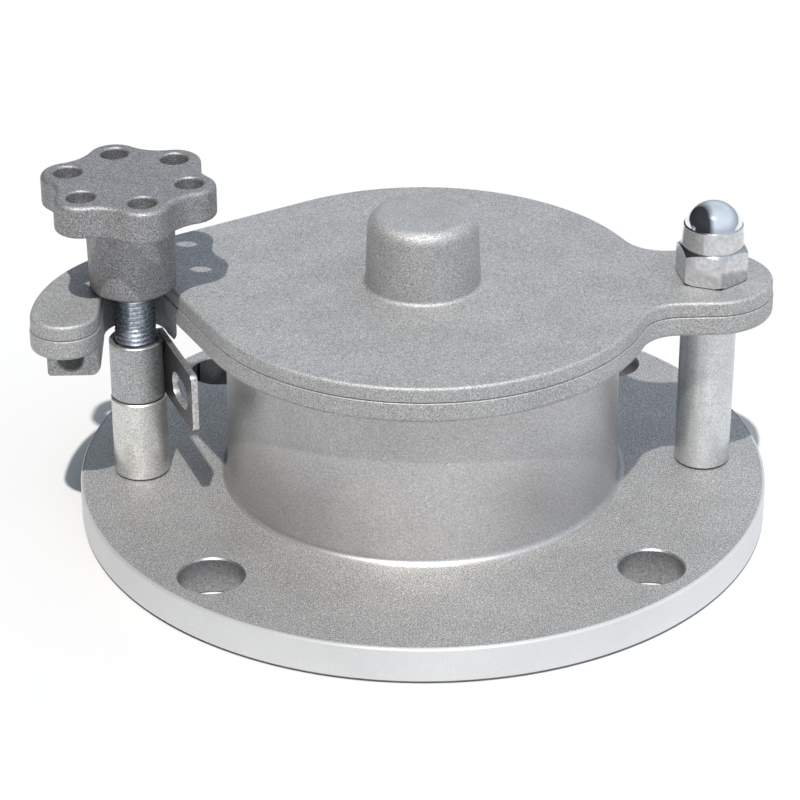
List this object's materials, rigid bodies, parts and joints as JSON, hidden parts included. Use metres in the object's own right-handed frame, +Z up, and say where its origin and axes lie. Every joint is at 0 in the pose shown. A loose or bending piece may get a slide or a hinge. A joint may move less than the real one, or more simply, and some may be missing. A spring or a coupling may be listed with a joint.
{
  "type": "tank gauge hatch",
  "caption": "Quick-opening aluminium gauge hatch: flanged neck, swing-aside lid on a pivot post, six-lobed hand knob on a threaded stud, and a swivelling padlock hasp.",
  "frame": {"origin": "Middle of the flange's underside, on the neck's axis.", "axes": "+Z up along the neck, +X from the clamp stud to the pivot post, and the lid's hook opens towards -Y."},
  "size_m": [0.2085, 0.198, 0.1024],
  "materials": {
    "cast_aluminium": "shot-blasted casting, fine grain",
    "knob_casting": "coarse shot-blasted casting",
    "zinc_plated_steel": "turned bar, dull zinc plate",
    "stud_steel": "bright zinc-plated thread",
    "hasp_steel": "dark rolled sheet, sheared edges",
    "polished_steel": "polished",
    "gasket_rubber": "matt moulded rubber"
  },
  "bodies": {
    "base": {"flange_neck": "cast_aluminium", "pivot_post": "zinc_plated_steel", "acorn_nut": "polished_steel", "lock_post": "zinc_plated_steel", "clamp_stud": "stud_steel"},
    "lid": {"hatch_lid": "cast_aluminium", "lid_gasket": "gasket_rubber"},
    "hasp": {"hasp_collar": "zinc_plated_steel", "hasp_plate": "hasp_steel"},
    "knob_carrier": {"thrust_washer": "zinc_plated_steel"},
    "knob": {"star_knob": "knob_casting"}
  },
  "joints": [
    {"name": "lid_swing", "type": "hinge", "parent": "base", "child": "lid", "pos_m": [0.0813, 0, 0.06], "axis": [0, 0, 1], "range_deg": [-180, 0]},
    {"name": "hasp_swivel", "type": "hinge", "parent": "base", "child": "hasp", "pos_m": [-0.0813, 0, 0.044], "axis": [0, 0, 1], "range_deg": [-65, 15]},
    {"name": "knob_lift", "type": "slide", "parent": "base", "child": "knob_carrier", "axis": [0, 0, 1], "range_m": [0, 0.00601]},
    {"name": "knob_turn", "type": "hinge", "parent": "knob_carrier", "child": "knob", "pos_m": [-0.0813, 0, 0.08], "axis": [0, 0, 1], "range_deg": [0, 1440]}
  ],
  "couplings": [
    {"joint": "knob_lift", "follows": "knob_turn", "m_per_rad": 0.00023873}
  ]
}
